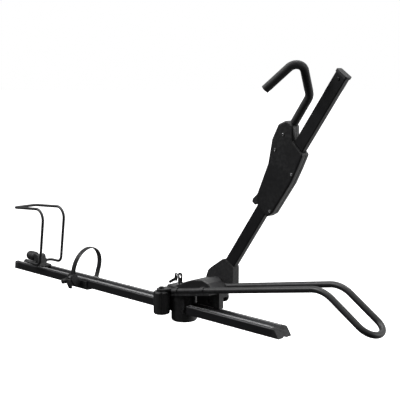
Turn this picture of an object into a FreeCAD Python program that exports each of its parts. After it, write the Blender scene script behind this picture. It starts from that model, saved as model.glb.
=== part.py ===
import FreeCAD, Part
import math
import os

# Single-tray bicycle carrier module that bolts to the bar of a hitch rack.
# Frame: +X along the tray towards the front-wheel loop, +Y towards the arm side, +Z up.
# Origin: centre of the bolt pattern on the underside of the hub.  Millimetres.

V = FreeCAD.Vector

# ---- driving dimensions ------------------------------------------------------------
RAIL_REAR = -918.0          # rear tip of the tray rail
RAIL_LENGTH = 1335.0
RAIL_WIDTH = 58.0
RAIL_HEIGHT = 29.0
RAIL_BASE = 29.0            # rail underside above the hub's mounting face
CAP_LENGTH = 24.0
FRONT_CAP_BEVEL = 19.0
REAR_CAP_BEVEL = 4.0

RAIL_SPLICE = -22.0          # the two halves of the rail meet here, inside the hub
GROOVE_FLOOR = 17.0         # groove floor above the rail underside
GROOVE_TOP_HALF = 14.0
GROOVE_FLOOR_HALF = 8.5

HUB_RADIUS = 41.5
HUB_TOP = 86.0
BLOCK_FRONT = 5.9              # the cast block that stands on the rail
BLOCK_HALF = 31.0
BOLT_SPACING = 40.0
BOLT_HOLE = 4.25

LOOP_TUBE = 9.3             # tube radius
LOOP_HALF = 42.0            # leg centre line to the middle plane
LOOP_Z0 = 100.0             # height of the leg centre line over the hub axis
LOOP_SLOPE = 10.47          # degrees
LOOP_START = -6.0
LOOP_KNEE = 581.0
LOOP_DROP = 33.2            # degrees below level, after the knee
LOOP_NOSE = 186.5           # knee to the middle of the nose
LOOP_KNEE_BEND = 95.0

ARM_TILT = 35.27            # from vertical, towards +X
ARM_Y = 72.0
ARM_DEPTH = 40.0            # in the XZ plane
ARM_THICK = 20.0            # along Y
ARM_WALL = 2.0
ARM_FOOT = 158.0            # along the arm, from the origin's level
ARM_TIP = 950.0
PIVOT_X = 86.0
PIVOT_Z = 113.0
PIVOT_PIN = 6.0

HOUSING_HALF = 16.0         # half thickness of the two carriage shells together
ROD_P = -58.0               # hook rod centre, across the arm
ROD_RADIUS = 8.0
ROD_FOOT = 662.0             # the rod's buried end, along the arm
SLEEVE_FOOT = 743.0
SLEEVE_RADIUS = 12.2

HOOP_X = -722.0
HOOP_Z = 73.0                  # the hoop's lower runs and its pivot wire
HOOP_HALF = 46.9
HOOP_WIRE = 5.0
HOOP_HEEL = 62.0               # from the legs back to the pivot wire
HOOP_LEAN = 8.3
HOOP_HEIGHT = 213.6
HOOP_REACH = 188.0
HOOP_DROOP = 3.8
KNOB_LINE_Y = -8.0             # axis of the hoop's locking knob
KNOB_LINE_Z = 88.5

STRAP_X = -509.0
STRAP_HALF = 57.0            # half width of the arch at its middle height
STRAP_MIDDLE = 92.0
STRAP_RISE = 74.6            # middle height to the crown
STRAP_WIDTH = 21.0
STRAP_THICK = 3.0
STRAP_END = 52.0
STRAP_BEND = 73.0           # above this height the arch leans towards the hub
STRAP_LEAN = 0.27
STRAP_PIN_Y = 45.0
STRAP_PIN_Z = 45.0
AXLE_Y = -65.0              # ratchet axle of the buckle
AXLE_Z = 66.0
THUMB_X = -580.0            # thumb knob of the strap's clamp
THUMB_Z = 36.0

SPARE_X = -20.0             # the spare key hangs and swings here
SPARE_Z = 146.9

KNOB_X = -40.5
KNOB_Y = -60.2
KNOB_RADIUS = 26.2

RUN = 0.05                  # radial clearance of a running fit
GAP = 0.4                   # clearance between bodies that slide past each other

# ---- derived dimensions ------------------------------------------------------------
RAIL_FRONT = RAIL_REAR + RAIL_LENGTH
RAIL_HALF = RAIL_WIDTH / 2
RAIL_TOP = RAIL_BASE + RAIL_HEIGHT
SIN_ARM = math.sin(math.radians(ARM_TILT))
COS_ARM = math.cos(math.radians(ARM_TILT))
ARM_NEAR = ARM_Y - ARM_THICK / 2
ARM_FAR = ARM_Y + ARM_THICK / 2
KNUCKLE_NEAR = ARM_NEAR - 4.0
KNUCKLE_FAR = ARM_FAR + 4.0
LOOP_TAN = math.tan(math.radians(LOOP_SLOPE))


# ---- helpers -----------------------------------------------------------------------
def box(x0, x1, y0, y1, z0, z1):
    return Part.makeBox(x1 - x0, y1 - y0, z1 - z0, V(x0, y0, z0))


def rod(start, end, radius):
    """Round bar between two points."""
    axis = end - start
    return Part.makeCylinder(radius, axis.Length, start, axis)


def ring(start, end, outer, inner):
    return rod(start, end, outer).cut(rod(start, end, inner))


def corner_points(before, corner, after, radius):
    """Start, middle and end of the arc that rounds a corner."""
    inward = (before - corner).normalize()
    outward = (after - corner).normalize()
    half = inward.getAngle(outward) / 2
    reach = radius / math.tan(half)
    middle = (inward + outward).normalize()
    bulge = radius / math.sin(half) - radius
    return corner + inward * reach, corner + middle * bulge, corner + outward * reach


def rounded_edges(points, radii, closed):
    """Straight runs joined by tangent arcs."""
    count = len(points)
    arcs = []
    for i in range(count):
        ends = not closed and i in (0, count - 1)
        if ends or radii[i] <= 0:
            arcs.append((points[i], None, points[i]))
        else:
            arcs.append(corner_points(points[i - 1], points[i], points[(i + 1) % count], radii[i]))
    edges = []
    for i in range(count if closed else count - 1):
        start = arcs[i][2]
        end = arcs[(i + 1) % count][0]
        if (end - start).Length > 1e-6:
            edges.append(Part.LineSegment(start, end).toShape())
        turn = arcs[(i + 1) % count]
        if turn[1] is not None:
            edges.append(Part.Arc(turn[0], turn[1], turn[2]).toShape())
    return edges


def prism(corners, place, sweep):
    """Solid from an outline of (u, v, radius) corners, put in space by place and extruded."""
    points = [place(u, v) for u, v, _ in corners]
    wire = Part.Wire(rounded_edges(points, [c[2] for c in corners], True))
    return Part.Face(wire).extrude(sweep)


def side_prism(corners, y0, y1):
    """Outline in x and z, extruded along Y."""
    return prism(corners, lambda x, z: V(x, y0, z), V(0, y1 - y0, 0))


def cross_prism(corners, x0, x1):
    """Outline in y and z, extruded along X."""
    return prism(corners, lambda y, z: V(x0, y, z), V(x1 - x0, 0, 0))


def plan_prism(corners, z0, z1):
    """Outline in x and y, extruded upwards."""
    return prism(corners, lambda x, y: V(x, y, z0), V(0, 0, z1 - z0))


def arm_point(along, across, y=ARM_Y):
    """Point from distances along the arm and across it, both in the XZ plane."""
    return V(along * SIN_ARM + across * COS_ARM, y, along * COS_ARM - across * SIN_ARM)


def arm_prism(corners, y0, y1):
    """Outline of (along, across, radius) corners, extruded along Y."""
    return prism(corners, lambda a, p: arm_point(a, p, y0), V(0, y1 - y0, 0))


def swept_bar(points, radii, radius):
    """Round bar bent along straight runs and tangent arcs."""
    path = Part.Wire(rounded_edges(points, radii, False))
    start = points[0]
    circle = Part.Circle(start, points[1] - start, radius)
    return path.makePipeShell([Part.Wire(circle.toShape())], True, True)


def hex_head(centre, axis, across_flats, height):
    """Hexagonal head or nut whose seat is at centre."""
    reach = across_flats / math.sqrt(3)
    corners = [V(reach * math.cos(math.radians(60 * i)), reach * math.sin(math.radians(60 * i)), 0)
               for i in range(6)]
    solid = Part.Face(Part.makePolygon(corners + corners[:1])).extrude(V(0, 0, height))
    solid.Placement = FreeCAD.Placement(centre, FreeCAD.Rotation(V(0, 0, 1), axis))
    return solid


def bolt(seat, axis, radius, length, across_flats, head):
    """Hex bolt: the head stands out along axis and the shank runs the other way."""
    direction = V(axis).normalize()
    return hex_head(seat, direction, across_flats, head).fuse(rod(seat, seat - direction * length, radius))


def pan_screw(seat, axis, radius, length, head_radius, head):
    """Domed screw head on a plain shank."""
    direction = V(axis).normalize()
    cap = rod(seat, seat + direction * head, head_radius)
    rim = [e for e in cap.Edges if e.BoundBox.Center.distanceToPoint(seat + direction * head) < 0.01]
    return cap.makeFillet(head * 0.6, rim).fuse(rod(seat, seat - direction * length, radius))


def group(solids):
    return Part.makeCompound(solids)


# ---- tray rail ---------------------------------------------------------------------
def rail_outline():
    half, base, top = RAIL_HALF, RAIL_BASE, RAIL_TOP
    floor = RAIL_BASE + GROOVE_FLOOR
    right = [(GROOVE_FLOOR_HALF, floor, 2.5), (GROOVE_TOP_HALF, top, 3), (half, top, 6), (half, base, 2),
             (7, base, 1), (6, base + 3, 1)]
    left = [(-y, z, r) for y, z, r in reversed(right)]
    return right + left


def rail_half(start, end):
    body = cross_prism(rail_outline(), start, end)
    low, high = RAIL_BASE + 2.5, RAIL_TOP - 2.5
    cavity = [(11.5, low, 1.5), (RAIL_HALF - 2.5, low, 1.5), (RAIL_HALF - 2.5, high, 3.5), (17, high, 1.5),
              (11.5, low + 8, 1.5)]
    for side in (1, -1):
        corners = [(side * y, z, r) for y, z, r in cavity]
        body = body.cut(cross_prism(corners, start - 1, end + 1))
    return body


def rail_rear():
    return rail_half(RAIL_REAR + CAP_LENGTH, RAIL_SPLICE - 0.1)


def rail_front():
    return rail_half(RAIL_SPLICE + 0.1, RAIL_FRONT - CAP_LENGTH)


def rail_end_cap(tip, inward, slope):
    """Moulded end plug with the rail's section, bevelled so that its top is shorter."""
    seat = tip + inward * CAP_LENGTH
    body = cross_prism(rail_outline(), min(tip, seat), max(tip, seat))
    bevel = [(tip - inward * 5, RAIL_BASE - 1, 0), (tip - inward * 1, RAIL_BASE - 1, 0),
             (tip + inward * 1.5, RAIL_BASE + 5, 0), (tip + inward * slope, RAIL_TOP + 1, 0),
             (tip - inward * 5, RAIL_TOP + 1, 0)]
    body = body.cut(side_prism(bevel, -RAIL_HALF - 1, RAIL_HALF + 1))
    tenon = [(12.2, RAIL_BASE + 3.2, 1), (RAIL_HALF - 3.2, RAIL_BASE + 3.2, 1),
             (RAIL_HALF - 3.2, RAIL_TOP - 3.2, 3), (17.6, RAIL_TOP - 3.2, 1), (12.2, RAIL_BASE + 10.3, 1)]
    for side in (1, -1):
        corners = [(side * y, z, r) for y, z, r in tenon]
        body = body.fuse(cross_prism(corners, min(seat, seat + inward * 14), max(seat, seat + inward * 14)))
    return body


# ---- front wheel loop --------------------------------------------------------------
def leg_height(x):
    return LOOP_Z0 + x * LOOP_TAN


def loop_path():
    knee = V(LOOP_KNEE, 0, leg_height(LOOP_KNEE))
    drop = V(math.cos(math.radians(LOOP_DROP)), 0, -math.sin(math.radians(LOOP_DROP)))
    nose = knee + drop * LOOP_NOSE
    side = V(0, LOOP_HALF, 0)
    start = V(LOOP_START, 0, leg_height(LOOP_START))
    points = [start - side, knee - side, nose - side, nose + side, knee + side, start + side]
    nose_bend = LOOP_HALF - 1.0
    return points, [0, LOOP_KNEE_BEND, nose_bend, nose_bend, LOOP_KNEE_BEND, 0]


def front_loop():
    points, radii = loop_path()
    return swept_bar(points, radii, LOOP_TUBE)


def loop_seat():
    """Slightly larger envelope of the two legs, cut from what they lie in."""
    legs = []
    for side in (1, -1):
        start = V(LOOP_START - 40, side * LOOP_HALF, leg_height(LOOP_START - 40))
        end = V(LOOP_START + 230, side * LOOP_HALF, leg_height(LOOP_START + 230))
        legs.append(rod(start, end, LOOP_TUBE + 0.1))
    return legs[0].fuse(legs[1])


def loop_saddle_clamps():
    """Half-round straps that hold the legs down on the deck, two to a leg."""
    clamps = []
    tilt = V(1, 0, LOOP_TAN).normalize()
    block_space = box(-60, BLOCK_FRONT + 0.1, -BLOCK_HALF - 0.1, BLOCK_HALF + 0.1, RAIL_TOP, 120)
    for side in (1, -1):
        for x in (12.0, 128.0):
            centre = V(x, side * LOOP_HALF, leg_height(x))
            shell = ring(centre - tilt * 8, centre + tilt * 8, LOOP_TUBE + 2.6, LOOP_TUBE + 0.15)
            keep = box(x - 30, x + 30, -60, 60, centre.z + 1.0, centre.z + 30)
            clamps.append(shell.common(keep).cut([deck_envelope(0.02, -30, 200), block_space]))
    return group(clamps)


# ---- hub ---------------------------------------------------------------------------
def hub_housing():
    """Cast cup under the rail, with the cheeks and the block that hold the rail."""
    cup = Part.makeCylinder(HUB_RADIUS, HUB_TOP, V(0, 0, 0))
    cup = cup.makeFillet(7, [e for e in cup.Edges if abs(e.BoundBox.ZMax) < 0.01])
    cheeks = box(-72, 34, -RAIL_HALF - 4.5, RAIL_HALF + 4.5, RAIL_BASE + 2, HUB_TOP - 6)
    block = plan_prism([(-50, -BLOCK_HALF, 7), (BLOCK_FRONT, -BLOCK_HALF, 1), (BLOCK_FRONT, BLOCK_HALF, 1),
                        (-50, BLOCK_HALF, 7)], RAIL_TOP, 111)
    lug = plan_prism([(KNOB_X - 17, KNOB_Y - 17, 15), (KNOB_X + 17, KNOB_Y - 17, 15), (-6, -24, 2),
                      (-48, -24, 2)], 99, 106)
    body = cup.fuse([cheeks, block, lug])
    body = body.cut(box(-80, 50, -RAIL_HALF - 0.05, RAIL_HALF + 0.05, RAIL_BASE, RAIL_TOP + 0.05))
    body = body.cut(deck_blank(0.05))
    for x in (-BOLT_SPACING / 2, BOLT_SPACING / 2):
        for y in (-BOLT_SPACING / 2, BOLT_SPACING / 2):
            body = body.cut(rod(V(x, y, -1), V(x, y, 26), BOLT_HOLE))
    body = body.cut(rod(V(KNOB_X, KNOB_Y, 90), V(KNOB_X, KNOB_Y, 110), 5 + RUN))
    body = body.cut(rod(V(-8, -14, 84), V(-8, -14, 120), 9))
    for point, axis in rail_bolt_seats():
        body = body.cut(rod(point + axis * 6, point - axis * 4.4, 2.5))
    return body


def rail_bolt_seats():
    seats = []
    for x in (-66.0, 29.2):
        for side in (1, -1):
            seats.append((V(x, side * (RAIL_HALF + 4.5), RAIL_BASE + 12), V(0, side, 0)))
    return seats


def hub_rail_bolts():
    """Four short bolts through the cheeks into the rail's ribs."""
    return group([bolt(point, axis, 2.5, 4.4, 8, 3.5) for point, axis in rail_bolt_seats()])


def deck_envelope(grow, x0, x1):
    """Tilted slab under the legs."""
    top, low = 1.0 + grow, -15.0 - grow
    corners = [(x0, leg_height(x0) + low, 0), (x1, leg_height(x1) + low, 0), (x1, leg_height(x1) + top, 0),
               (x0, leg_height(x0) + top, 0)]
    return side_prism(corners, -48 - grow, 48 + grow)


def deck_blank(grow):
    """Deck slab with a notch at its rear for the hub's block."""
    return deck_envelope(grow, -12 - grow, 158).cut(box(-30, 6 - grow, -31.1 + grow, 31.1 - grow, 60, 140))


def hub_deck():
    """Channel plate that carries the loop's legs: a top web with a skirt down each side."""
    body = deck_blank(0)
    hollow = [(14, leg_height(14) - 16, 0), (152, leg_height(152) - 16, 0), (152, leg_height(152) - 7, 0),
              (14, leg_height(14) - 7, 0)]
    body = body.cut(side_prism(hollow, -29, 29))
    return body.cut(loop_seat())


def hub_cover():
    """Moulded cover over the deck, low at the lock and crowned ahead of it."""
    foot = 1.1
    rear = 6.1
    corners = [(rear, leg_height(rear) + foot, 0), (rear, 120, 8), (34, 134, 40), (70, 146.5, 60),
               (112, 153, 20), (136, 146, 8), (156, leg_height(156) + foot, 0)]
    body = side_prism(corners, -31, 31)
    edges = [e for e in body.Edges if abs(abs(e.BoundBox.Center.y) - 31) < 0.01
             and e.BoundBox.ZMax > leg_height(e.BoundBox.Center.x) + 8]
    body = body.makeFillet(4, edges)
    hollow = [(20, leg_height(20) - 1, 0), (44, 124, 20), (78, 140, 40), (112, 146, 10), (130, 140, 6),
              (144, leg_height(144) - 1, 0)]
    return body.cut(side_prism(hollow, -27, 27))


def bracket_post():
    """Post and web on the rail under the deck, with an outrigger to the arm bracket."""
    post = box(122, 144, 11, 30, RAIL_TOP + 0.05, 118)
    outrigger = box(101, 144, 11, 51.5, 92, 118)
    web = box(42, 123, 15, 24, RAIL_TOP + 0.05, 118).cut(box(90, 116, 14, 20, 69, 84))
    body = post.fuse([outrigger, web]).removeSplitter()
    for point in bracket_bolt_points():
        body = body.cut(rod(point, point - V(0, 9, 0), 4))
    return body.cut(deck_envelope(0.05, 30, 200)).cut(loop_seat())


def arm_bracket():
    """Upright ear beside the far leg, with a round head about the arm's pivot."""
    corners = [(PIVOT_X - 33, 92, 6), (PIVOT_X - 33, 146, 32.9), (PIVOT_X + 33, 146, 32.9),
               (PIVOT_X + 36, 106, 6), (142, 99, 5), (142, 73, 18), (100, 73, 6), (78, 84, 6)]
    body = side_prism(corners, 51.6, 57.2)
    body = body.cut(rod(V(PIVOT_X, 50, PIVOT_Z), V(PIVOT_X, 60, PIVOT_Z), PIVOT_PIN))
    for point in bracket_bolt_points():
        body = body.cut(rod(point + V(0, 1, 0), point - V(0, 9, 0), 4))
    return body


def bracket_bolt_points():
    return [V(110, 57.2, 98), V(133, 57.2, 98)]


def bracket_bolts():
    return group([pan_screw(point, V(0, 1, 0), 4, 9, 6, 0.5) for point in bracket_bolt_points()])


def pivot_stud():
    """Pin welded in the ear, threaded at its far end."""
    return rod(V(PIVOT_X, 51.6, PIVOT_Z), V(PIVOT_X, KNUCKLE_FAR + 13, PIVOT_Z), PIVOT_PIN)


def pivot_nut():
    seat = V(PIVOT_X, KNUCKLE_FAR + 2.6, PIVOT_Z)
    nut = hex_head(seat, V(0, 1, 0), 19, 8)
    washer = rod(seat - V(0, 2, 0), seat, 13)
    return nut.fuse(washer).cut(pivot_stud())


def lock_barrel():
    body = rod(V(-8, -14, 85), V(-8, -14, 117), 9)
    collar = rod(V(-8, -14, 111.05), V(-8, -14, 114), 12)
    slot = box(-14.2, -1.8, -15.8, -12.2, 88, 120)
    return body.fuse(collar).cut(slot).cut(rod(V(-8, -14, 88), V(-8, -14, 120), 6.5))


# ---- keys --------------------------------------------------------------------------
def key_plug():
    """Turning core of the lock."""
    body = rod(V(-8, -14, 88.4), V(-8, -14, 117.6), 6.4)
    return body.cut(box(-12, -4, -15.2, -12.8, 95, 120))


def lock_key():
    blade = box(-11.5, -4.5, -15.1, -12.9, 95.3, 122)
    bow = side_prism([(-13, 120, 6), (5, 120, 6), (6, 155, 8), (-12, 155, 8)], -15.4, -12.6)
    hole = rod(V(-3.5, -20, 143), V(-3.5, -10, 143), 5)
    return blade.fuse(bow).cut(hole)


def key_ring():
    """Small split ring through both keys."""
    circle = Part.Circle(V(-12.2, -14, 145), V(0.25, 0.1, 1), 8)
    profile = Part.Circle(circle.value(0), circle.tangent(0)[0], 0.9)
    return Part.Wire(circle.toShape()).makePipeShell([Part.Wire(profile.toShape())], True, True)


def spare_key():
    """Second key, hanging from the ring with its tip over the block."""
    head = [(-30, 128, 3), (-27, 150, 5), (-15.5, 153, 5), (-15.5, 138, 4), (-20, 124, 3)]
    body = side_prism(head, -15.2, -12.8)
    blade = [(-29, 135, 0.5), (-24, 127, 0.5), (-52, 112.4, 2.5), (-57, 119, 2.5)]
    body = body.fuse(side_prism(blade, -15, -13))
    return body.cut(rod(V(SPARE_X, -20, SPARE_Z), V(SPARE_X, -10, SPARE_Z), 2.6))


# ---- clamp knob --------------------------------------------------------------------
def clamp_knob():
    """Tall fluted grip below the hub's lug."""
    low, high = 24.0, 97.6
    body = Part.makeCylinder(KNOB_RADIUS, high - low, V(KNOB_X, KNOB_Y, low))
    rims = [e for e in body.Edges if abs(e.BoundBox.ZMax - e.BoundBox.ZMin) < 0.01]
    body = body.makeFillet(6, rims)
    for i in range(6):
        turn = math.radians(60 * i + 15)
        x = KNOB_X + (KNOB_RADIUS + 3.5) * math.cos(turn)
        y = KNOB_Y + (KNOB_RADIUS + 3.5) * math.sin(turn)
        body = body.cut(rod(V(x, y, low - 1), V(x, y, high + 1), 6.5))
    return body.cut(rod(V(KNOB_X, KNOB_Y, low + 20), V(KNOB_X, KNOB_Y, high + 1), 5))


def clamp_stud():
    return rod(V(KNOB_X, KNOB_Y, 44), V(KNOB_X, KNOB_Y, 111.5), 5)


def clamp_nut():
    nut = hex_head(V(KNOB_X, KNOB_Y, 106.5), V(0, 0, 1), 15, 4.5)
    return nut.cut(rod(V(KNOB_X, KNOB_Y, 100), V(KNOB_X, KNOB_Y, 120), 5))


# ---- swing arm ---------------------------------------------------------------------
def arm_bar(grow, start, end):
    half = ARM_DEPTH / 2 + grow
    radius = 3 + max(grow, -1.5)
    corners = [(start, -half, 0), (end, -half, 0), (end, half, 0), (start, half, 0)]
    body = arm_prism(corners, ARM_NEAR - grow, ARM_FAR + grow)
    length = end - start
    edges = [e for e in body.Edges if abs(e.Length - length) < 0.01]
    return body.makeFillet(radius, edges)


def arm_tube():
    return arm_bar(0, ARM_FOOT, ARM_TIP).cut(arm_bar(-ARM_WALL, ARM_FOOT - 5, ARM_TIP + 5))


def arm_tip_cap():
    cap = arm_bar(2.2, ARM_TIP + 0.05, ARM_TIP + 8)
    plug = arm_bar(-ARM_WALL - 0.1, ARM_TIP - 22, ARM_TIP + 1)
    body = cap.fuse(plug)
    return body.cut(rod(arm_point(ARM_TIP - 12, 0, ARM_NEAR - 3), arm_point(ARM_TIP - 12, 0, ARM_FAR + 3), 2.4))


def arm_tip_screw():
    seat = arm_point(ARM_TIP - 12, 0, ARM_NEAR)
    return pan_screw(seat, V(0, -1, 0), 2.3, 16, 4.5, 2)


def arm_tube_drilled():
    return arm_tube().cut(rod(arm_point(ARM_TIP - 12, 0, ARM_NEAR - 3), arm_point(ARM_TIP - 12, 0, ARM_Y), 2.4))


def arm_rack():
    """Toothed strip let into the rear edge of the arm."""
    pitch, start, teeth = 8.0, 300.0, 78
    corners = [(start, -ARM_DEPTH / 2 - 0.05, 0)]
    for i in range(teeth):
        corners.append((start + i * pitch, -ARM_DEPTH / 2 - 2.4, 0))
        corners.append((start + (i + 0.8) * pitch, -ARM_DEPTH / 2 - 0.8, 0))
    corners.append((start + teeth * pitch, -ARM_DEPTH / 2 - 0.8, 0))
    corners.append((start + teeth * pitch, -ARM_DEPTH / 2 - 0.05, 0))
    return arm_prism(corners, ARM_Y - 4, ARM_Y + 4)


def knuckle():
    """Deep moulded joint piece about the arm's foot."""
    corners = [(36, 128, 6), (49, 161, 14), (62, 172, 10), (112, 205, 4), (122, 208, 3), (157, 187, 6),
               (157, 133, 6), (120, 96, 14), (96, 84, 22), (64, 90, 20)]
    body = side_prism(corners, KNUCKLE_NEAR, KNUCKLE_FAR)
    body = body.cut(arm_bar(0.02, ARM_FOOT - 0.5, 400))
    return body.cut(rod(V(PIVOT_X, 40, PIVOT_Z), V(PIVOT_X, 100, PIVOT_Z), 9))


def knuckle_bushes():
    """Plain bearing bush at each face of the knuckle."""
    bushes = []
    for y0, y1 in ((KNUCKLE_NEAR, KNUCKLE_NEAR + 11), (KNUCKLE_FAR - 11, KNUCKLE_FAR)):
        bushes.append(ring(V(PIVOT_X, y0, PIVOT_Z), V(PIVOT_X, y1, PIVOT_Z), 9, PIVOT_PIN + RUN))
    return group(bushes)


# ---- hook carriage -----------------------------------------------------------------
def housing_outline(grow=0.0):
    return [(464 - grow, -12, 5), (489, -36 - grow, 8), (595, -57 - grow, 30), (640, -77 - grow, 20),
            (662, -87 - grow, 14), (712, -93 - grow, 12), (739 + grow, -76, 11), (741 + grow, -48, 9),
            (705 + grow, -22, 5), (697 + grow, 29, 7), (650, 37 + grow, 20), (600, 43 + grow, 12), (484, 42 + grow, 10),
            (463 - grow, 32, 6)]


def carriage_shell(y0, y1):
    """One of the two moulded halves, with its channels for the arm and the rod."""
    body = arm_prism(housing_outline(), y0, y1)
    outer = y0 if y0 < ARM_Y else y1
    rim = [e for e in body.Edges if abs(e.BoundBox.YMin - outer) < 0.01 and abs(e.BoundBox.YMax - outer) < 0.01]
    body = body.makeFillet(3.5, rim)
    body = body.cut(arm_bar(1.2, 380, 800))
    body = body.cut(arm_prism([(380, -19, 0), (380, -23.5, 0), (800, -23.5, 0), (800, -19, 0)],
                              ARM_Y - 5, ARM_Y + 5))
    body = body.cut(rod(arm_point(ROD_FOOT, ROD_P), arm_point(780, ROD_P), ROD_RADIUS))
    body = body.cut(trigger_bay())
    for along, across in housing_screw_points():
        body = body.cut(rod(arm_point(along, across, ARM_Y - 30), arm_point(along, across, ARM_Y + 30), 2.1))
    return body


def trigger_bay():
    """Recess for the release trigger and pawl, open to the arm's rear edge."""
    return arm_prism([(455, -20, 0), (455, -60, 0), (482, -60, 0), (530, -36, 0), (530, -20, 0)],
                     ARM_Y - 8.5, ARM_Y + 8.5)


def housing_screw_points():
    return [(644, -59), (699, -61), (625, 32), (485, 32)]


def carriage_screws():
    near = ARM_Y - HOUSING_HALF
    return group([pan_screw(arm_point(a, p, near), V(0, -1, 0), 2, 24, 4, 1.6)
                  for a, p in housing_screw_points()])


def guide_liner():
    """Two low-friction collars inside the shells that run on the arm."""
    collars = []
    for start in (545.0, 660.0):
        collars.append(arm_bar(1.2, start, start + 24).cut(arm_bar(0.35, start - 1, start + 25)))
    liner = group(collars)
    return liner.cut(arm_prism([(500, -19, 0), (500, -24, 0), (720, -24, 0), (720, -19, 0)],
                               ARM_Y - 5, ARM_Y + 5))


def hook_direction(along, outwards):
    """Point on the hook: along the arm, and outwards over the wheel side."""
    turn = math.radians(30)
    centre = arm_point(along, ROD_P - outwards * math.sin(turn))
    return V(centre.x, ARM_Y - outwards * math.cos(turn), centre.z)


def hook_path(start):
    points = [arm_point(start, ROD_P), hook_direction(838, 0), hook_direction(943, 83),
              hook_direction(818, 130)]
    return points, [0, 34, 27, 0]


def hook_rod():
    points, radii = hook_path(ROD_FOOT)
    body = swept_bar(points, radii, ROD_RADIUS)
    for along, across in housing_screw_points():
        body = body.cut(rod(arm_point(along, across, ARM_Y - 30), arm_point(along, across, ARM_Y + 30), 2.1))
    return body


def hook_sleeve():
    """Rubber sleeve over the hook, closed at its end."""
    points, radii = hook_path(SLEEVE_FOOT)
    tip = (points[3] - points[2]).normalize()
    points[3] = points[3] + tip * 4
    return swept_bar(points, radii, SLEEVE_RADIUS).cut(hook_rod())


def trigger_pin():
    return rod(arm_point(512, -31, ARM_Y - 11), arm_point(512, -31, ARM_Y + 11), 2)


def carriage_shell_with_pin(y0, y1):
    return carriage_shell(y0, y1).cut(trigger_pin())


# ---- release trigger ---------------------------------------------------------------
def release_trigger():
    """Finger tab under the carriage, on a cross pin."""
    corners = [(457, -27, 2), (457, -42.5, 3), (467, -46, 3), (482, -42, 6), (518, -37, 4), (519, -26, 4),
               (500, -25, 2), (476, -31, 4)]
    body = arm_prism(corners, ARM_Y - 8, ARM_Y - 2)
    body = body.fuse(arm_prism(corners, ARM_Y - 2, ARM_Y + 8))
    return body.removeSplitter().cut(rod(arm_point(512, -31, 50), arm_point(512, -31, 90), 2 + RUN))


# ---- rear hoop ---------------------------------------------------------------------
def hoop_base():
    """Slide on the rail with an upright boss that holds the hoop's pivot wire."""
    low = RAIL_TOP + GAP
    foot = plan_prism([(HOOP_X - 140, -15, 13), (HOOP_X - 80, -25, 18), (HOOP_X - 20, -22, 9),
                       (HOOP_X - 20, 22, 9), (HOOP_X - 80, 25, 18), (HOOP_X - 140, 15, 13)], low, low + 5)
    boss = side_prism([(HOOP_X - 75, low, 0), (HOOP_X - 75, KNOB_LINE_Z + 12, 9),
                       (HOOP_X - 52, KNOB_LINE_Z + 12, 12), (HOOP_X - 45, low + 10, 4),
                       (HOOP_X - 39, low, 0)], -22, 14)
    tongue = box(HOOP_X - 125, HOOP_X - 24, -6.5, 6.5, RAIL_TOP - 9, low + 1)
    body = foot.fuse([boss, tongue])
    pivot = HOOP_X - HOOP_HEEL
    body = body.cut(rod(V(pivot, -40, HOOP_Z), V(pivot, 40, HOOP_Z), HOOP_WIRE + RUN))
    for x in hoop_screw_places():
        body = body.cut(rod(V(x, 0, RAIL_TOP - 4), V(x, 0, low + 10), 2))
    knob_line = V(HOOP_X, KNOB_LINE_Y, KNOB_LINE_Z)
    return body.cut(rod(knob_line - V(90, 0, 0), knob_line - V(52, 0, 0), 4 + RUN))


def hoop_sleeve():
    """Tapered collar beside the boss."""
    pivot = HOOP_X - HOOP_HEEL
    cone = Part.makeCone(10, 7, 11.5, V(pivot, 14.05, HOOP_Z), V(0, 1, 0))
    return cone.cut(rod(V(pivot, 10, HOOP_Z), V(pivot, 40, HOOP_Z), HOOP_WIRE + RUN))


def hoop_screw_places():
    return HOOP_X - 112, HOOP_X - 31


def hoop_foot_screws():
    screws = []
    for x in hoop_screw_places():
        screws.append(pan_screw(V(x, 0, RAIL_TOP + GAP + 5.0), V(0, 0, 1), 2, 9, 5, 2.4))
    return group(screws)


def rear_hoop():
    """Wire hoop: pivot wire in the boss, two heels, two legs, and a top that reaches rearwards."""
    lean, droop = math.radians(HOOP_LEAN), math.radians(HOOP_DROOP)
    side = V(0, HOOP_HALF, 0)
    foot = V(HOOP_X, 0, HOOP_Z)
    pivot = foot - V(HOOP_HEEL, 0, 0)
    shoulder = foot + V(math.sin(lean), 0, math.cos(lean)) * HOOP_HEIGHT
    tip = shoulder + V(-math.cos(droop), 0, -math.sin(droop)) * HOOP_REACH
    points = [pivot - V(0, 0.2, 0), pivot - side, foot - side, shoulder - side, tip - side, tip + side,
              shoulder + side, foot + side, pivot + side, pivot + V(0, 0.2, 0)]
    return swept_bar(points, [0, 14, 24, 38, 12, 12, 38, 24, 14, 0], HOOP_WIRE)


def hoop_knob():
    """Egg-shaped grip on a screw that locks the hoop's slide."""
    centre = V(HOOP_X - 104, KNOB_LINE_Y, KNOB_LINE_Z)
    half, radius = 27.5, 17.5
    corners = [(centre.x - half, centre.z, 0), (centre.x - half, centre.z + radius, 16.5),
               (centre.x + half - 6, centre.z + radius, 12), (centre.x + half, centre.z + 9, 3),
               (centre.x + half, centre.z, 0)]
    outline = Part.Wire(rounded_edges([V(x, centre.y, z) for x, z, _ in corners],
                                      [c[2] for c in corners], True))
    return Part.Face(outline).revolve(centre, V(1, 0, 0), 360)


def hoop_knob_screw():
    knob_line = V(HOOP_X, KNOB_LINE_Y, KNOB_LINE_Z)
    return rod(knob_line - V(76.4, 0, 0), knob_line - V(54, 0, 0), 4)


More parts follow.
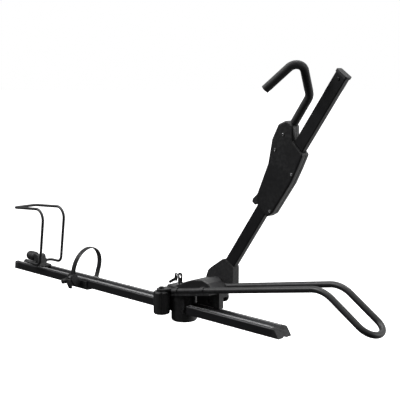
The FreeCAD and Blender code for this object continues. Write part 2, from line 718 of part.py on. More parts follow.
# ---- wheel strap -------------------------------------------------------------------
def strap_clamp():
    """Saddle round the underside of the rail, with an ear for its thumb knob."""
    inner, outer = RAIL_HALF + GAP, RAIL_HALF + 4.6
    low, bottom = RAIL_BASE - GAP, RAIL_BASE - 8
    x0, x1 = STRAP_X - 47, STRAP_X + 46
    wrap = [(-outer, bottom, 5), (outer, bottom, 5), (outer, 52, 1), (inner, 52, 0.5), (inner, low, 0.5),
            (-inner, low, 0.5), (-inner, 52, 0.5), (-outer, 52, 1)]
    body = cross_prism(wrap, x0, x1)
    ear = [(THUMB_X - 13, 28, 8), (x0 + 1, bottom + 1, 0), (x0 + 1, 50, 0), (THUMB_X - 13, 46, 8)]
    body = body.fuse(side_prism(ear, -outer, -inner))
    for side in (1, -1):
        at = STRAP_X + side * (STRAP_WIDTH / 2 + 0.8)
        lug = [(outer - 1, 38, 0), (STRAP_PIN_Y + 4, 38, 6), (STRAP_PIN_Y + 7, 51, 6), (outer - 1, 53, 0)]
        lug_x = (at, at + 3.4) if side > 0 else (at - 3.4, at)
        body = body.fuse(cross_prism(lug, lug_x[0], lug_x[1]))
    pin = rod(V(STRAP_X - 30, STRAP_PIN_Y, STRAP_PIN_Z), V(STRAP_X + 30, STRAP_PIN_Y, STRAP_PIN_Z), 3)
    return body.cut(pin).cut(rod(V(THUMB_X, -60, THUMB_Z), V(THUMB_X, -RAIL_HALF, THUMB_Z), 3 + RUN))


def strap_pin():
    reach = STRAP_WIDTH / 2 + 4.2
    return rod(V(STRAP_X - reach, STRAP_PIN_Y, STRAP_PIN_Z), V(STRAP_X + reach, STRAP_PIN_Y, STRAP_PIN_Z), 3)


def arch_block(offset):
    """Elliptical block with the strap's width, grown by an offset."""
    middle = V(STRAP_X - STRAP_WIDTH / 2, 0, STRAP_MIDDLE)
    crown = middle + V(0, 0, STRAP_RISE + offset)
    flank = middle + V(0, STRAP_HALF + offset, 0)
    outline = Part.Wire(Part.Ellipse(crown, flank, middle).toShape())
    return Part.Face(outline).extrude(V(STRAP_WIDTH, 0, 0))


def strap():
    """Strap arched over the tray: an eye on the far side, its tail in the buckle."""
    x0, x1 = STRAP_X - STRAP_WIDTH / 2, STRAP_X + STRAP_WIDTH / 2
    band = arch_block(STRAP_THICK / 2).cut(arch_block(-STRAP_THICK / 2))
    lower = band.common(box(x0 - 1, x1 + 1, 0, 80, STRAP_PIN_Z, STRAP_BEND))
    lower = lower.fuse(band.common(box(x0 - 1, x1 + 1, -80, 0, STRAP_END, STRAP_BEND)))
    leaning = FreeCAD.Matrix()
    leaning.A13 = STRAP_LEAN
    leaning.A14 = -STRAP_LEAN * STRAP_BEND
    arch = band.common(box(x0 - 1, x1 + 1, -80, 80, STRAP_BEND, 200)).transformGeometry(leaning)
    eye = rod(V(x0, STRAP_PIN_Y, STRAP_PIN_Z), V(x1, STRAP_PIN_Y, STRAP_PIN_Z), 6)
    bore = rod(V(x0 - 1, STRAP_PIN_Y, STRAP_PIN_Z), V(x1 + 1, STRAP_PIN_Y, STRAP_PIN_Z), 3 + RUN)
    return lower.fuse([arch, eye]).cut(bore)


def buckle_frame():
    """Two cheeks and a back that hold the ratchet on the near side."""
    outer = RAIL_HALF + 4.6
    back = box(STRAP_X - 14.5, STRAP_X + 14.5, -outer - 6.5, -outer - 0.05, 28, 49)
    cheeks = []
    for x0 in (STRAP_X - 14.5, STRAP_X + 11.7):
        cheek = [(-outer - 1, 28, 0), (-outer - 22, 32, 8), (AXLE_Y - 8, 56, 9), (AXLE_Y - 6, 76, 7),
                 (AXLE_Y + 14, 76, 6), (-outer - 1, 49, 0)]
        cheeks.append(cross_prism(cheek, x0, x0 + 2.8))
    return back.fuse(cheeks).cut(ratchet_axle())


def axle_rod(reach, radius):
    return rod(V(STRAP_X - reach, AXLE_Y, AXLE_Z), V(STRAP_X + reach, AXLE_Y, AXLE_Z), radius)


def ratchet_axle():
    return axle_rod(16, 2.5)


def ratchet_gear():
    """Toothed drum that draws the strap in."""
    corners = []
    teeth = 12
    outer, root = 7.6, 6.2
    for i in range(teeth):
        turn = 2 * math.pi * i / teeth
        corners.append((AXLE_Y + outer * math.cos(turn), AXLE_Z + outer * math.sin(turn), 0))
        corners.append((AXLE_Y + root * math.cos(turn + 0.12), AXLE_Z + root * math.sin(turn + 0.12), 0))
    return cross_prism(corners, STRAP_X - 7, STRAP_X + 7).cut(axle_rod(20, 2.5 + RUN))


def ratchet_lever():
    """Pull-up lever of the buckle, hanging down over it and narrowing to a finger tab."""
    y, z = AXLE_Y, AXLE_Z
    arms = []
    for x0 in (STRAP_X - 11.2, STRAP_X + 7.6):
        arms.append(cross_prism([(y + 6.5, z + 8, 5), (y + 6.5, z - 8, 5), (y + 0.5, z - 30, 2),
                                 (y - 5.5, z - 31, 2), (y - 9.5, z - 4, 5), (y - 5.5, z + 10, 5)], x0, x0 + 3.6))
    pad = cross_prism([(y - 0.5, z - 22, 2), (y + 3.5, z - 40, 4), (y - 2.5, z - 43, 3), (y - 10.5, z - 25, 4),
                       (y - 11, z - 6, 3), (y - 7, z - 6, 1)], STRAP_X - 11.2, STRAP_X + 11.2)
    front = side_prism([(STRAP_X - 11.2, z + 20, 0), (STRAP_X - 11.2, z - 44, 5), (STRAP_X + 2, z - 44, 5),
                        (STRAP_X + 2, z - 34, 4), (STRAP_X + 11.2, z - 26, 4), (STRAP_X + 11.2, z + 20, 0)],
                       y - 20, y + 20)
    body = arms[0].fuse([arms[1], pad]).common(front)
    return body.cut(axle_rod(20, 2.5 + RUN))


def strap_clamp_knob():
    """Round thumb knob that locks the saddle on the rail."""
    body = rod(V(THUMB_X, -52, THUMB_Z), V(THUMB_X, -RAIL_HALF - 5.2, THUMB_Z), 9)
    rim = [e for e in body.Edges if abs(e.BoundBox.YMax - e.BoundBox.YMin) < 0.01]
    return body.makeFillet(3, rim)


def strap_clamp_screw():
    return rod(V(THUMB_X, -RAIL_HALF - 5.15, THUMB_Z), V(THUMB_X, -RAIL_HALF - 0.2, THUMB_Z), 3)


NODES = {
    "rail_rear": rail_rear,
    "rail_front": rail_front,
    "rail_end_cap_rear": lambda: rail_end_cap(RAIL_REAR, 1, REAR_CAP_BEVEL),
    "rail_end_cap_front": lambda: rail_end_cap(RAIL_FRONT, -1, FRONT_CAP_BEVEL),
    "front_loop": front_loop,
    "loop_saddle_clamps": loop_saddle_clamps,
    "hub_housing": hub_housing,
    "hub_rail_bolts": hub_rail_bolts,
    "hub_deck": hub_deck,
    "hub_cover": hub_cover,
    "bracket_post": bracket_post,
    "arm_bracket": arm_bracket,
    "bracket_bolts": bracket_bolts,
    "pivot_stud": pivot_stud,
    "pivot_nut": pivot_nut,
    "lock_barrel": lock_barrel,
    "key_plug": key_plug,
    "lock_key": lock_key,
    "key_ring": key_ring,
    "spare_key": spare_key,
    "clamp_knob": clamp_knob,
    "clamp_stud": clamp_stud,
    "clamp_nut": clamp_nut,
    "arm_tube": arm_tube_drilled,
    "arm_tip_cap": arm_tip_cap,
    "arm_tip_screw": arm_tip_screw,
    "arm_rack": arm_rack,
    "knuckle": knuckle,
    "knuckle_bushes": knuckle_bushes,
    "carriage_shell_near": lambda: carriage_shell_with_pin(ARM_Y - HOUSING_HALF, ARM_Y),
    "carriage_shell_far": lambda: carriage_shell_with_pin(ARM_Y, ARM_Y + HOUSING_HALF),
    "carriage_screws": carriage_screws,
    "guide_liner": guide_liner,
    "hook_rod": hook_rod,
    "hook_sleeve": hook_sleeve,
    "trigger_pin": trigger_pin,
    "release_trigger": release_trigger,
    "hoop_base": hoop_base,
    "hoop_sleeve": hoop_sleeve,
    "hoop_foot_screws": hoop_foot_screws,
    "rear_hoop": rear_hoop,
    "hoop_knob": hoop_knob,
    "hoop_knob_screw": hoop_knob_screw,
    "strap_clamp": strap_clamp,
    "strap_pin": strap_pin,
    "strap": strap,
    "buckle_frame": buckle_frame,
    "ratchet_axle": ratchet_axle,
    "ratchet_gear": ratchet_gear,
    "ratchet_lever": ratchet_lever,
    "strap_clamp_knob": strap_clamp_knob,
    "strap_clamp_screw": strap_clamp_screw,
}


def main():
    os.makedirs("parts", exist_ok=True)
    for name, make in NODES.items():
        shape = make()
        solids = shape.Solids
        volume = sum(s.Volume for s in solids)
        print(f"{name:22s} solids {len(solids)}  volume {volume / 1000:9.2f} cm3  valid {shape.isValid()}")
        if len(solids) == 1:
            shape = solids[0]
        else:
            shape = Part.makeCompound(solids)
        shape.exportStep(f"parts/{name}.step")


main()
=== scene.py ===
"""Looks for a single-tray hitch bike rack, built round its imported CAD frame. Metres, +Z up."""

import math

import bmesh
import bpy
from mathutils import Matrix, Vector


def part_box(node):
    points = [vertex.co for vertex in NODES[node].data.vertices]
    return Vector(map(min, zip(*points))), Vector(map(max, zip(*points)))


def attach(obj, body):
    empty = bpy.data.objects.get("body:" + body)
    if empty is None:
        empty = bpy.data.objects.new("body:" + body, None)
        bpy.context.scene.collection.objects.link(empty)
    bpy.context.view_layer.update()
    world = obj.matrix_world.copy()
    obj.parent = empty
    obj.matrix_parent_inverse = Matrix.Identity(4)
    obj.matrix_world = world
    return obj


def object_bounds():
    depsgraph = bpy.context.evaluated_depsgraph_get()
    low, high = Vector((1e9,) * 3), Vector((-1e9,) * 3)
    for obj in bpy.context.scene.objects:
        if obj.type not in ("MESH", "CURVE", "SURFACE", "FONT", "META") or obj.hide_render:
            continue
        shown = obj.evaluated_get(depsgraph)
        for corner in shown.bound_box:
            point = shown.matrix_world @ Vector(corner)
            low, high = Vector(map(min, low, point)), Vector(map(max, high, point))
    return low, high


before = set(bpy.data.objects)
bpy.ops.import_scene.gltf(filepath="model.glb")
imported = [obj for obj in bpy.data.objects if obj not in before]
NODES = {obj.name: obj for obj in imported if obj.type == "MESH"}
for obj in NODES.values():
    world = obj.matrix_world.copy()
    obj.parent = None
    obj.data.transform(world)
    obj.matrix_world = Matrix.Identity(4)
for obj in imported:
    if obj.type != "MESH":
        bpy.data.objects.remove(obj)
CAD_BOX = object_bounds()

# ---- driving dimensions ------------------------------------------------------------
MM = 0.001
CAMERA_PLACE = (2.0656, -1.9699, 0.7958)
CAMERA_AZIMUTH = 45.35           # degrees
CAMERA_PITCH = 8.18              # degrees below level
CAMERA_LENS = 82.86              # on a 36 mm sensor
FLOOR_DROP = 0.45                # the rack hangs from its hub, clear of the floor
FLOOR_REACH = 60.0
SKY_TONES = (0.05, 0.55)         # light from the horizon and below, and from straight above
BACKDROP_TONE = 0.9              # light from the bright sweep behind the rack
LIGHTS = [
    ("key_softbox", (-1.9, -2.0, 2.6), (1.6, 1.6), 85),
    ("top_softbox", (-0.2, 0.5, 3.0), (2.2, 2.2), 50),
    ("side_softbox", (3.0, 1.6, 0.9), (1.4, 1.8), 30),
]

RIDGE_LINES = (0.0156, 0.0224)   # from the rail's middle plane
RIDGE_WIDTH = 0.0022
RIDGE_HEIGHT = 0.00033
RIDGE_RUNS = {"rail_rear": (0.004, 0.06), "rail_front": (0.066, 0.004)}
STRAP_LINE = -0.509              # the strap's middle plane along the rail
STRAP_MIDDLE = 0.092             # height of the arch's widest point
STRAP_BEND = 0.073               # it leans towards the hub above this height
STRAP_LEAN = 0.27
STRAP_TURN = (198.0, 8.0)        # degrees round the arch, from the buckle
STRAP_RIBS = 52
STRAP_RIB = (0.013, 0.0026, 0.0008)   # across, along and out of the strap
STRAP_INSET = 0.0015             # from the strap's outer face to the ribs' guide curve
RIB_SEAT = 0.0014                # ribs start this far out from that curve

SCREW_SIDES = 32
SCREW_SUNK = 1.6 * MM            # from the counterbore's face down to the screw head's
RIM_PROFILE = [(0.0042, 0.0), (0.0042, 0.0007), (0.0048, 0.0011), (0.0062, 0.0009), (0.0068, 0.0)]
HEAD_PROFILE = [(0.0040, -0.0015), (0.0040, -0.0004), (0.0034, 0.0001), (0.0019, 0.0003),
                (0.0019, -0.0010), (0.0, -0.0010)]
MERGE = 1e-6                     # vertices closer than this are one

NEAR_BLACK = (0.010, 0.010, 0.011)
SOFT_BLACK = (0.012, 0.012, 0.013)
WHITE = (1, 1, 1, 1)
SENSOR_WIDTH = 36                # mm
VIEW_END = 50                    # metres
BEVEL_SAMPLES = 6
EDGE_SPAN = (0.515, 0.60)        # pointiness at which rubbing starts and is full
RUB_SPAN = (0.42, 0.68)          # part of the noise that breaks the rubbing up
CLOUD_TONES = (0.82, 1.22)       # darkest and palest clouds, as shares of the base colour
BACKDROP_SPAN = (0.3, 0.95)      # how far round the bright sweep reaches


# ---- material tools ----------------------------------------------------------------
def new_material(name):
    """Material with an empty tree, its shader and its object coordinates."""
    material = bpy.data.materials.new(name)
    material.use_nodes = True
    tree = material.node_tree
    tree.nodes.clear()
    output = tree.nodes.new("ShaderNodeOutputMaterial")
    shader = tree.nodes.new("ShaderNodeBsdfPrincipled")
    coords = tree.nodes.new("ShaderNodeTexCoord")
    tree.links.new(shader.outputs["BSDF"], output.inputs["Surface"])
    return material, tree, shader, coords.outputs["Object"]


def stretched(tree, coords, scale):
    """Object coordinates scaled per axis."""
    mapping = tree.nodes.new("ShaderNodeMapping")
    mapping.inputs["Scale"].default_value = scale
    tree.links.new(coords, mapping.inputs["Vector"])
    return mapping.outputs["Vector"]


def noise(tree, coords, scale, detail, roughness=0.55):
    """Noise value in object space; scale is cells a metre."""
    node = tree.nodes.new("ShaderNodeTexNoise")
    node.inputs["Scale"].default_value = scale
    node.inputs["Detail"].default_value = detail
    node.inputs["Roughness"].default_value = roughness
    tree.links.new(coords, node.inputs["Vector"])
    return node.outputs["Fac"]


def ramp(tree, value, low, high, start=0.3, end=0.7):
    """Colour ramp from low to high; numbers give grey."""
    node = tree.nodes.new("ShaderNodeValToRGB")
    node.color_ramp.elements[0].position = start
    node.color_ramp.elements[1].position = end
    for element, tone in zip(node.color_ramp.elements, (low, high)):
        colour = tone if isinstance(tone, tuple) else (tone, tone, tone)
        element.color = (*colour, 1)
    tree.links.new(value, node.inputs["Fac"])
    return node.outputs["Color"]


def soft_edges(tree, radius):
    """Normal that rounds edges in the shading only; the mesh stays as it is."""
    node = tree.nodes.new("ShaderNodeBevel")
    node.samples = BEVEL_SAMPLES
    node.inputs["Radius"].default_value = radius
    return node.outputs["Normal"]


def bump(tree, shader, height, distance, strength, under=None):
    """Relief of a height value, laid over the normal under when there is one."""
    node = tree.nodes.new("ShaderNodeBump")
    node.inputs["Distance"].default_value = distance
    node.inputs["Strength"].default_value = strength
    tree.links.new(height, node.inputs["Height"])
    if under is not None:
        tree.links.new(under, node.inputs["Normal"])
    tree.links.new(node.outputs["Normal"], shader.inputs["Normal"])
    return node.outputs["Normal"]


def worn(tree, shader, coords, base, tint, amount):
    """Base colour with cloudy variation and paler rubbed edges."""
    dark, pale = (tuple(c * tone for c in base) for tone in CLOUD_TONES)
    cloud = ramp(tree, noise(tree, coords, 14, 4), dark, pale)
    geometry = tree.nodes.new("ShaderNodeNewGeometry")
    edge = ramp(tree, geometry.outputs["Pointiness"], 0.0, 1.0, *EDGE_SPAN)
    breakup = ramp(tree, noise(tree, coords, 120, 4), 0.0, amount, *RUB_SPAN)
    mask = tree.nodes.new("ShaderNodeMath")
    mask.operation = "MULTIPLY"
    tree.links.new(edge, mask.inputs[0])
    tree.links.new(breakup, mask.inputs[1])
    mix = tree.nodes.new("ShaderNodeMix")
    mix.data_type = "RGBA"
    tree.links.new(mask.outputs["Value"], mix.inputs["Factor"])
    tree.links.new(cloud, mix.inputs["A"])
    mix.inputs["B"].default_value = (*tint, 1)
    tree.links.new(mix.outputs["Result"], shader.inputs["Base Color"])


def powder_coat(name, base=NEAR_BLACK, rough=(0.40, 0.52)):
    """Satin powder coat: fine orange peel over a cloudy black."""
    material, tree, shader, coords = new_material(name)
    worn(tree, shader, coords, base, (0.10, 0.10, 0.105), 0.35)
    tree.links.new(ramp(tree, noise(tree, coords, 60, 5), *rough), shader.inputs["Roughness"])
    peel = bump(tree, shader, noise(tree, coords, 420, 2, 0.4), 0.0004, 0.35, soft_edges(tree, 0.0015))
    bump(tree, shader, noise(tree, coords, 1500, 2), 0.0001, 0.25, peel)
    shader.inputs["Coat Weight"].default_value = 0.12
    shader.inputs["Coat Roughness"].default_value = 0.32
    return material


def anodised(name, along, base):
    """Anodised extrusion with faint die lines; along scales the noise on each axis."""
    material, tree, shader, coords = new_material(name)
    lines = noise(tree, stretched(tree, coords, along), 1.0, 4, 0.6)
    tree.links.new(ramp(tree, lines, tuple(c * 0.78 for c in base), tuple(c * 1.3 for c in base)),
                   shader.inputs["Base Color"])
    tree.links.new(ramp(tree, noise(tree, coords, 35, 5), 0.36, 0.46), shader.inputs["Roughness"])
    grain = bump(tree, shader, lines, 0.00012, 0.4, soft_edges(tree, 0.002))
    bump(tree, shader, noise(tree, coords, 1800, 2), 0.00005, 0.3, grain)
    shader.inputs["Metallic"].default_value = 0.35
    return material


def moulded(name, base=SOFT_BLACK, grain=700.0, rough=(0.50, 0.62), edge=0.0015):
    """Glass-filled nylon with a spark-eroded grain and softened edges."""
    material, tree, shader, coords = new_material(name)
    worn(tree, shader, coords, base, (0.075, 0.075, 0.078), 0.3)
    tree.links.new(ramp(tree, noise(tree, coords, 90, 4), *rough), shader.inputs["Roughness"])
    cells = tree.nodes.new("ShaderNodeTexVoronoi")
    cells.inputs["Scale"].default_value = grain
    tree.links.new(coords, cells.inputs["Vector"])
    pits = bump(tree, shader, cells.outputs["Distance"], 0.00022, 0.3, soft_edges(tree, edge))
    bump(tree, shader, noise(tree, coords, 240, 3), 0.0003, 0.18, pits)
    return material


def rubber(name):
    """Soft matt rubber with a little dust on it."""
    material, tree, shader, coords = new_material(name)
    cloud = noise(tree, coords, 45, 6, 0.65)
    dust = ramp(tree, cloud, (0.010, 0.010, 0.0105), (0.020, 0.020, 0.0205), 0.35, 0.75)
    tree.links.new(dust, shader.inputs["Base Color"])
    tree.links.new(ramp(tree, noise(tree, coords, 160, 4), 0.55, 0.72), shader.inputs["Roughness"])
    bump(tree, shader, noise(tree, coords, 520, 3), 0.0004, 0.3)
    shader.inputs["Sheen Weight"].default_value = 0.15
    shader.inputs["Sheen Roughness"].default_value = 0.5
    return material


def dark_steel(name, base, rough=(0.28, 0.42)):
    """Blackened steel, brighter where it has been handled."""
    material, tree, shader, coords = new_material(name)
    worn(tree, shader, coords, base, (0.30, 0.30, 0.31), 0.6)
    tree.links.new(ramp(tree, noise(tree, coords, 220, 5), *rough), shader.inputs["Roughness"])
    bump(tree, shader, noise(tree, coords, 900, 3), 0.00008, 0.3)
    shader.inputs["Metallic"].default_value = 0.9
    return material


def nickel(name):
    """Bright plating, brushed across."""
    material, tree, shader, coords = new_material(name)
    tone = ramp(tree, noise(tree, coords, 300, 4), (0.42, 0.42, 0.43), (0.60, 0.60, 0.61))
    tree.links.new(tone, shader.inputs["Base Color"])
    tree.links.new(ramp(tree, noise(tree, coords, 700, 3), 0.2, 0.34), shader.inputs["Roughness"])
    bump(tree, shader, noise(tree, stretched(tree, coords, (2600, 300, 2600)), 1, 2), 0.00004, 0.3)
    shader.inputs["Metallic"].default_value = 1.0
    return material


RAIL_LINES = (2.0, 900.0, 900.0)      # long along X
ARM_LINES = (500.0, 500.0, 3.0)       # long along Z
MATERIALS = {
    "coat": powder_coat("powder_coat_black"),
    "cast": powder_coat("cast_coat_black", NEAR_BLACK, (0.46, 0.58)),
    "rail": anodised("anodised_rail", RAIL_LINES, (0.018, 0.018, 0.020)),
    # painted highlight: pale grey on the rail's ridges stands in for the highlight lines along the
    # groove's lips
    "ridge": anodised("ridge_painted_highlight", RAIL_LINES, (0.62, 0.62, 0.63)),
    "arm": anodised("anodised_arm", ARM_LINES, (0.014, 0.014, 0.0155)),
    "nylon": moulded("moulded_nylon"),
    "cover": moulded("moulded_cover", (0.016, 0.016, 0.017), 900.0, (0.36, 0.46)),
    "shell": moulded("moulded_shell", NEAR_BLACK, 1100.0, (0.36, 0.42), 0.007),
    "strap": moulded("strap_plastic", (0.010, 0.010, 0.0105), 1400.0, (0.34, 0.46)),
    "rubber": rubber("hook_rubber"),
    "steel": dark_steel("blackened_steel", (0.05, 0.05, 0.052)),
    "bright": dark_steel("zinc_steel", (0.16, 0.16, 0.165), (0.25, 0.38)),
    "nickel": nickel("nickel_plate"),
    "screw": dark_steel("socket_steel", (0.30, 0.30, 0.31), (0.22, 0.34)),
    # painted shade: the counterbore rims are near-black, darker than the shell they sit in, standing for
    # shade in the recesses
    "pit": moulded("counterbore_painted_shade", (0.003, 0.003, 0.003), 900.0, (0.6, 0.7)),
    "key": moulded("key_plastic", (0.012, 0.012, 0.012), 1200.0, (0.3, 0.4)),
}
FINISHES = {
    "coat": ["front_loop", "loop_saddle_clamps", "hub_deck", "bracket_post", "arm_bracket", "rear_hoop"],
    "cast": ["hub_housing"],
    "rail": ["rail_rear", "rail_front"],
    "arm": ["arm_tube", "arm_rack"],
    "cover": ["hub_cover"],
    "nylon": ["rail_end_cap_rear", "rail_end_cap_front", "clamp_knob", "arm_tip_cap", "knuckle",
              "release_trigger", "hoop_base", "hoop_sleeve", "hoop_knob", "strap_clamp", "buckle_frame",
              "ratchet_lever", "strap_clamp_knob", "guide_liner", "knuckle_bushes"],
    "shell": ["carriage_shell_near", "carriage_shell_far"],
    "strap": ["strap"],
    "rubber": ["hook_sleeve"],
    "steel": ["hub_rail_bolts", "bracket_bolts", "pivot_stud", "pivot_nut", "clamp_stud", "clamp_nut",
              "arm_tip_screw", "hook_rod", "trigger_pin", "hoop_foot_screws", "hoop_knob_screw",
              "strap_pin", "ratchet_axle", "strap_clamp_screw"],
    "bright": ["carriage_screws", "ratchet_gear", "lock_barrel"],
    "nickel": ["key_plug", "key_ring"],
    "key": ["lock_key", "spare_key"],
}


def dress(piece, finish):
    """Give a piece one material in place of all it had."""
    piece.data.materials.clear()
    piece.data.materials.append(MATERIALS[finish])


for finish, names in FINISHES.items():
    for name in names:
        dress(NODES[name], finish)


# ---- added detail ------------------------------------------------------------------
def add_piece(name, verts, faces, finish, smooth=True):
    """New closed or open mesh in the scene, merged, with its faces turned outwards."""
    mesh = bpy.data.meshes.new(name)
    mesh.from_pydata(verts, [], faces)
    work = bmesh.new()
    work.from_mesh(mesh)
    bmesh.ops.remove_doubles(work, verts=work.verts, dist=MERGE)
    bmesh.ops.recalc_face_normals(work, faces=work.faces)
    work.to_mesh(mesh)
    work.free()
    for face in mesh.polygons:
        face.use_smooth = smooth
    piece = bpy.data.objects.new(name, mesh)
    bpy.context.scene.collection.objects.link(piece)
    dress(piece, finish)
    return piece


def lathe(profile, seat, axis, sides, first):
    """Rings of a turned shape. profile holds (radius, height); first is its first vertex's index."""
    turn = Vector((0, 0, 1)).rotation_difference(axis).to_matrix()
    verts, faces = [], []
    for radius, height in profile:
        for i in range(sides):
            angle = 2 * math.pi * i / sides
            local = Vector((radius * math.cos(angle), radius * math.sin(angle), height))
            verts.append(seat + turn @ local)
    for ring in range(len(profile) - 1):
        for i in range(sides):
            low, side = first + ring * sides, (i + 1) % sides
            faces.append((low + i, low + side, low + sides + side, low + sides + i))
    return verts, faces


def turned_set(name, profile, seats, axis, finish, body, sides):
    """One piece of equal turned shapes, one at each seat, riding a body."""
    verts, faces = [], []
    for seat in seats:
        more, ring_faces = lathe(profile, seat, axis, sides, len(verts))
        verts += more
        faces += ring_faces
    piece = add_piece(name, verts, faces, finish)
    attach(piece, body)


def solid_boxes(node):
    """The node's world matrix and its separate solids' boxes, as (low, high) on each axis."""
    work = bmesh.new()
    work.from_mesh(NODES[node].data)
    bmesh.ops.remove_doubles(work, verts=work.verts, dist=MERGE)
    left, boxes = set(work.verts), []
    while left:
        stack, group = [left.pop()], []
        while stack:
            vert = stack.pop()
            group.append(vert)
            for edge in vert.link_edges:
                other = edge.other_vert(vert)
                if other in left:
                    left.remove(other)
                    stack.append(other)
        boxes.append([(min(v.co[i] for v in group), max(v.co[i] for v in group)) for i in range(3)])
    work.free()
    return NODES[node].matrix_world, boxes


def add_housing_screws():
    """Socket heads in counterbores on the carriage's near face, ringed by near-black rims that are
    painted shade in the recesses.
    """
    seats = []
    place, boxes = solid_boxes("carriage_screws")
    for box in boxes:
        middle = Vector([(low + high) / 2 for low, high in box])
        middle.y = box[1][0]
        seats.append(place @ middle)
    towards = Vector((0, -1, 0))
    rims = [seat - towards * SCREW_SUNK for seat in seats]
    # rims coloured near-black as painted shade for the counterbores
    turned_set("housing_screw_rims", RIM_PROFILE, rims, towards, "pit", "hook_carriage", SCREW_SIDES)
    turned_set("housing_screw_heads", HEAD_PROFILE, seats, towards, "screw", "hook_carriage", SCREW_SIDES)


add_housing_screws()


def add_strap_ribs():
    """Moulded teeth across the outer face of the strap, from the buckle up and over."""
    low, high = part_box("strap")
    half = (high.y - low.y) / 2 - STRAP_INSET
    centre_y = (high.y + low.y) / 2
    rise = high.z - STRAP_MIDDLE
    width, depth, thick = STRAP_RIB
    verts, faces = [], []
    for i in range(STRAP_RIBS):
        angle = math.radians(STRAP_TURN[0] + i * (STRAP_TURN[1] - STRAP_TURN[0]) / (STRAP_RIBS - 1))
        y = centre_y + half * math.cos(angle)
        z = STRAP_MIDDLE + (rise - STRAP_INSET) * math.sin(angle)
        normal = Vector((0, math.cos(angle) / half, math.sin(angle) / rise)).normalized()
        along = Vector((0, -normal.z, normal.y))
        lean = STRAP_LEAN * max(0.0, z - STRAP_BEND)
        seat = Vector((STRAP_LINE + lean, y, z)) + normal * RIB_SEAT
        base = len(verts)
        for lift, shrink in ((0.0, 1.0), (thick, 0.75)):
            for across, run in ((-1, -1), (1, -1), (1, 1), (-1, 1)):
                verts.append(seat + Vector((across * width / 2 * (0.9 + 0.1 * shrink), 0, 0))
                             + along * run * depth / 2 * shrink + normal * lift)
        faces += [(base + 4, base + 5, base + 6, base + 7)]
        faces += [(base + k, base + (k + 1) % 4, base + 4 + (k + 1) % 4, base + 4 + k) for k in range(4)]
    piece = add_piece("strap_teeth", verts, faces, "strap", False)
    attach(piece, "strap")


add_strap_ribs()


def add_rail_ridges():
    """Low ridges beside the groove, coloured pale grey as painted highlights, read from the photo's two
    bright lines along the rail.
    """
    across = (-1.0, -0.6, 0.6, 1.0)
    lifts = (0.0, 1.0, 1.0, 0.0)
    verts, faces = [], []
    for node, (start, end) in RIDGE_RUNS.items():
        low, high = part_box(node)
        for side in (-1, 1):
            for line in RIDGE_LINES:
                base = len(verts)
                for x in (low.x + start, high.x - end):
                    for step, lift in zip(across, lifts):
                        y = side * line + step * RIDGE_WIDTH / 2
                        verts.append(Vector((x, y, high.z + lift * RIDGE_HEIGHT)))
                faces += [(base + k, base + k + 1, base + 5 + k, base + 4 + k) for k in range(3)]
                faces += [(base, base + 4, base + 7, base + 3), tuple(base + k for k in range(4)),
                          tuple(base + 7 - k for k in range(4))]
    piece = add_piece("rail_ridges", verts, faces, "ridge", False)
    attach(piece, "tray")


add_rail_ridges()


# ---- scene -------------------------------------------------------------------------
def add_camera():
    data = bpy.data.cameras.new("camera")
    data.lens = CAMERA_LENS
    data.sensor_width = SENSOR_WIDTH
    data.clip_end = VIEW_END
    camera = bpy.data.objects.new("camera", data)
    bpy.context.scene.collection.objects.link(camera)
    azimuth, pitch = math.radians(CAMERA_AZIMUTH), math.radians(CAMERA_PITCH)
    level = math.cos(pitch)
    look = Vector((-math.sin(azimuth) * level, math.cos(azimuth) * level, -math.sin(pitch)))
    camera.location = CAMERA_PLACE
    camera.rotation_mode = "QUATERNION"
    camera.rotation_quaternion = look.to_track_quat("-Z", "Y")
    bpy.context.scene.camera = camera


def add_light(name, place, target, size, power):
    """Rectangular softbox at a place, turned to the target."""
    data = bpy.data.lights.new(name, "AREA")
    data.shape = "RECTANGLE"
    data.size, data.size_y = size
    data.energy = power
    light = bpy.data.objects.new(name, data)
    bpy.context.scene.collection.objects.link(light)
    light.location = place
    light.rotation_mode = "QUATERNION"
    light.rotation_quaternion = (Vector(target) - Vector(place)).to_track_quat("-Z", "Y")


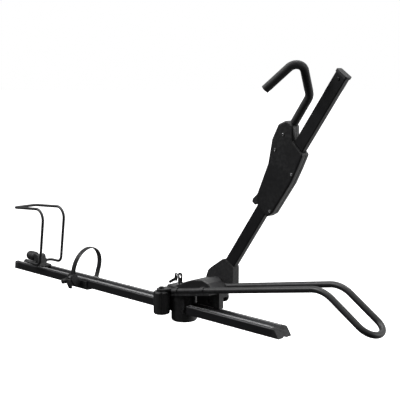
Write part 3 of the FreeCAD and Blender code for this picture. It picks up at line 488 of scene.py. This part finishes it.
def add_floor():
    """Glowing pale floor, hidden from diffuse and glossy rays so that it doesn't light the rack."""
    level = CAD_BOX[0].z - FLOOR_DROP
    mesh = bpy.data.meshes.new("floor")
    corners = [(x * FLOOR_REACH, y * FLOOR_REACH, level) for x, y in ((-1, -1), (1, -1), (1, 1), (-1, 1))]
    mesh.from_pydata(corners, [], [(0, 1, 2, 3)])
    floor = bpy.data.objects.new("floor", mesh)
    bpy.context.scene.collection.objects.link(floor)
    material, tree, shader, coords = new_material("pale_floor")
    tone = ramp(tree, noise(tree, coords, 3, 2), (0.86, 0.86, 0.86), (0.90, 0.90, 0.90))
    tree.links.new(tone, shader.inputs["Base Color"])
    shader.inputs["Roughness"].default_value = 0.9
    shader.inputs["Emission Color"].default_value = WHITE
    shader.inputs["Emission Strength"].default_value = 1.0
    mesh.materials.append(material)
    floor.visible_diffuse = False
    floor.visible_glossy = False


def add_world():
    """White to the camera; to the rack, dim light from above and from the +Y side behind it."""
    world = bpy.data.worlds.new("studio")
    world.use_nodes = True
    tree = world.node_tree
    tree.nodes.clear()
    output = tree.nodes.new("ShaderNodeOutputWorld")
    seen = tree.nodes.new("ShaderNodeBackground")
    seen.inputs["Color"].default_value = WHITE
    given = tree.nodes.new("ShaderNodeBackground")
    coords = tree.nodes.new("ShaderNodeTexCoord")
    split = tree.nodes.new("ShaderNodeSeparateXYZ")
    tree.links.new(coords.outputs["Generated"], split.inputs["Vector"])
    above = ramp(tree, split.outputs["Z"], *SKY_TONES, 0.0, 1.0)
    behind = ramp(tree, split.outputs["Y"], 0.0, BACKDROP_TONE, *BACKDROP_SPAN)
    total = tree.nodes.new("ShaderNodeMix")
    total.data_type = "RGBA"
    total.blend_type = "ADD"
    total.inputs["Factor"].default_value = 1.0
    tree.links.new(above, total.inputs["A"])
    tree.links.new(behind, total.inputs["B"])
    tree.links.new(total.outputs["Result"], given.inputs["Color"])
    path = tree.nodes.new("ShaderNodeLightPath")
    mix = tree.nodes.new("ShaderNodeMixShader")
    tree.links.new(path.outputs["Is Camera Ray"], mix.inputs["Fac"])
    tree.links.new(given.outputs["Background"], mix.inputs[1])
    tree.links.new(seen.outputs["Background"], mix.inputs[2])
    tree.links.new(mix.outputs["Shader"], output.inputs["Surface"])
    bpy.context.scene.world = world


def add_surroundings():
    add_floor()
    add_world()
    bpy.context.scene.view_settings.view_transform = "Standard"
    middle = (CAD_BOX[0] + CAD_BOX[1]) / 2
    for name, place, size, power in LIGHTS:
        add_light(name, place, middle, size, power)


add_camera()
add_surroundings()
